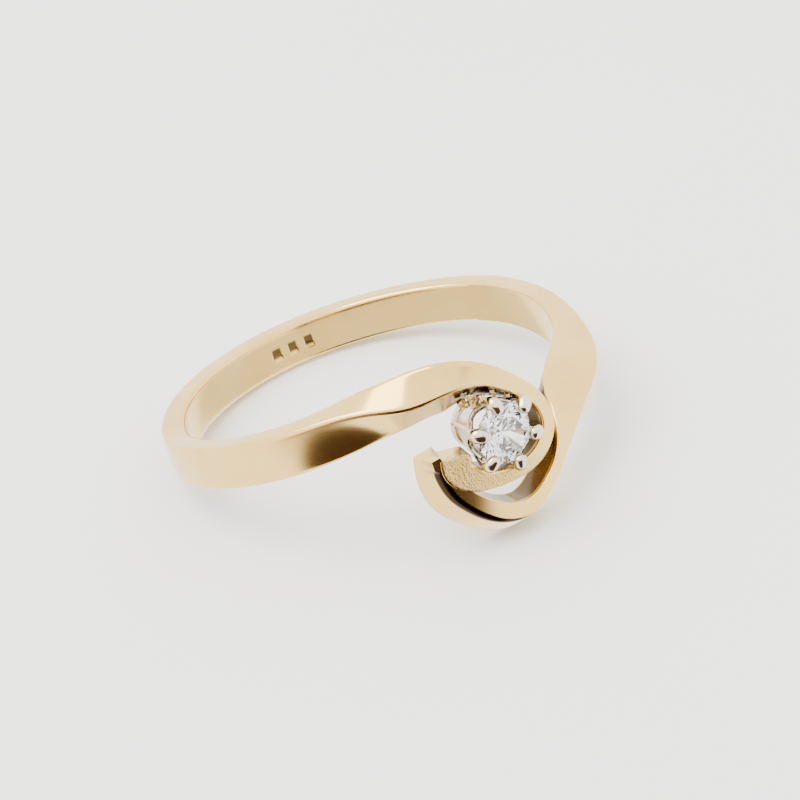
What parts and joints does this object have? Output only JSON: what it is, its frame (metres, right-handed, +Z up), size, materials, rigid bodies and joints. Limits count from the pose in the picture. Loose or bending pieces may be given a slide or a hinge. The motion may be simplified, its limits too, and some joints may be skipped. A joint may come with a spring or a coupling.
{
  "type": "engagement ring",
  "caption": "Twist solitaire ring: plain band whose two ends cross and swirl round a claw-set round stone.",
  "frame": {"origin": "centre of the bounding box on the surface that the ring lies on", "axes": "+Z up, the ring lies on its side and is thinnest this way; the head with the stone faces -Y"},
  "size_m": [0.0192, 0.0212, 0.0083],
  "materials": {
    "yellow_gold": "polished",
    "white_gold": "polished",
    "diamond": "faceted"
  },
  "bodies": {
    "root": {"shank": "yellow_gold", "inner_swirl_arm": "yellow_gold", "outer_swirl_arm": "yellow_gold", "collet_base_ring": "white_gold", "collet": "white_gold", "diamond": "diamond", "claw_1": "white_gold", "claw_2": "white_gold", "claw_3": "white_gold", "claw_4": "white_gold", "claw_5": "white_gold", "claw_6": "white_gold"}
  },
  "joints": []
}
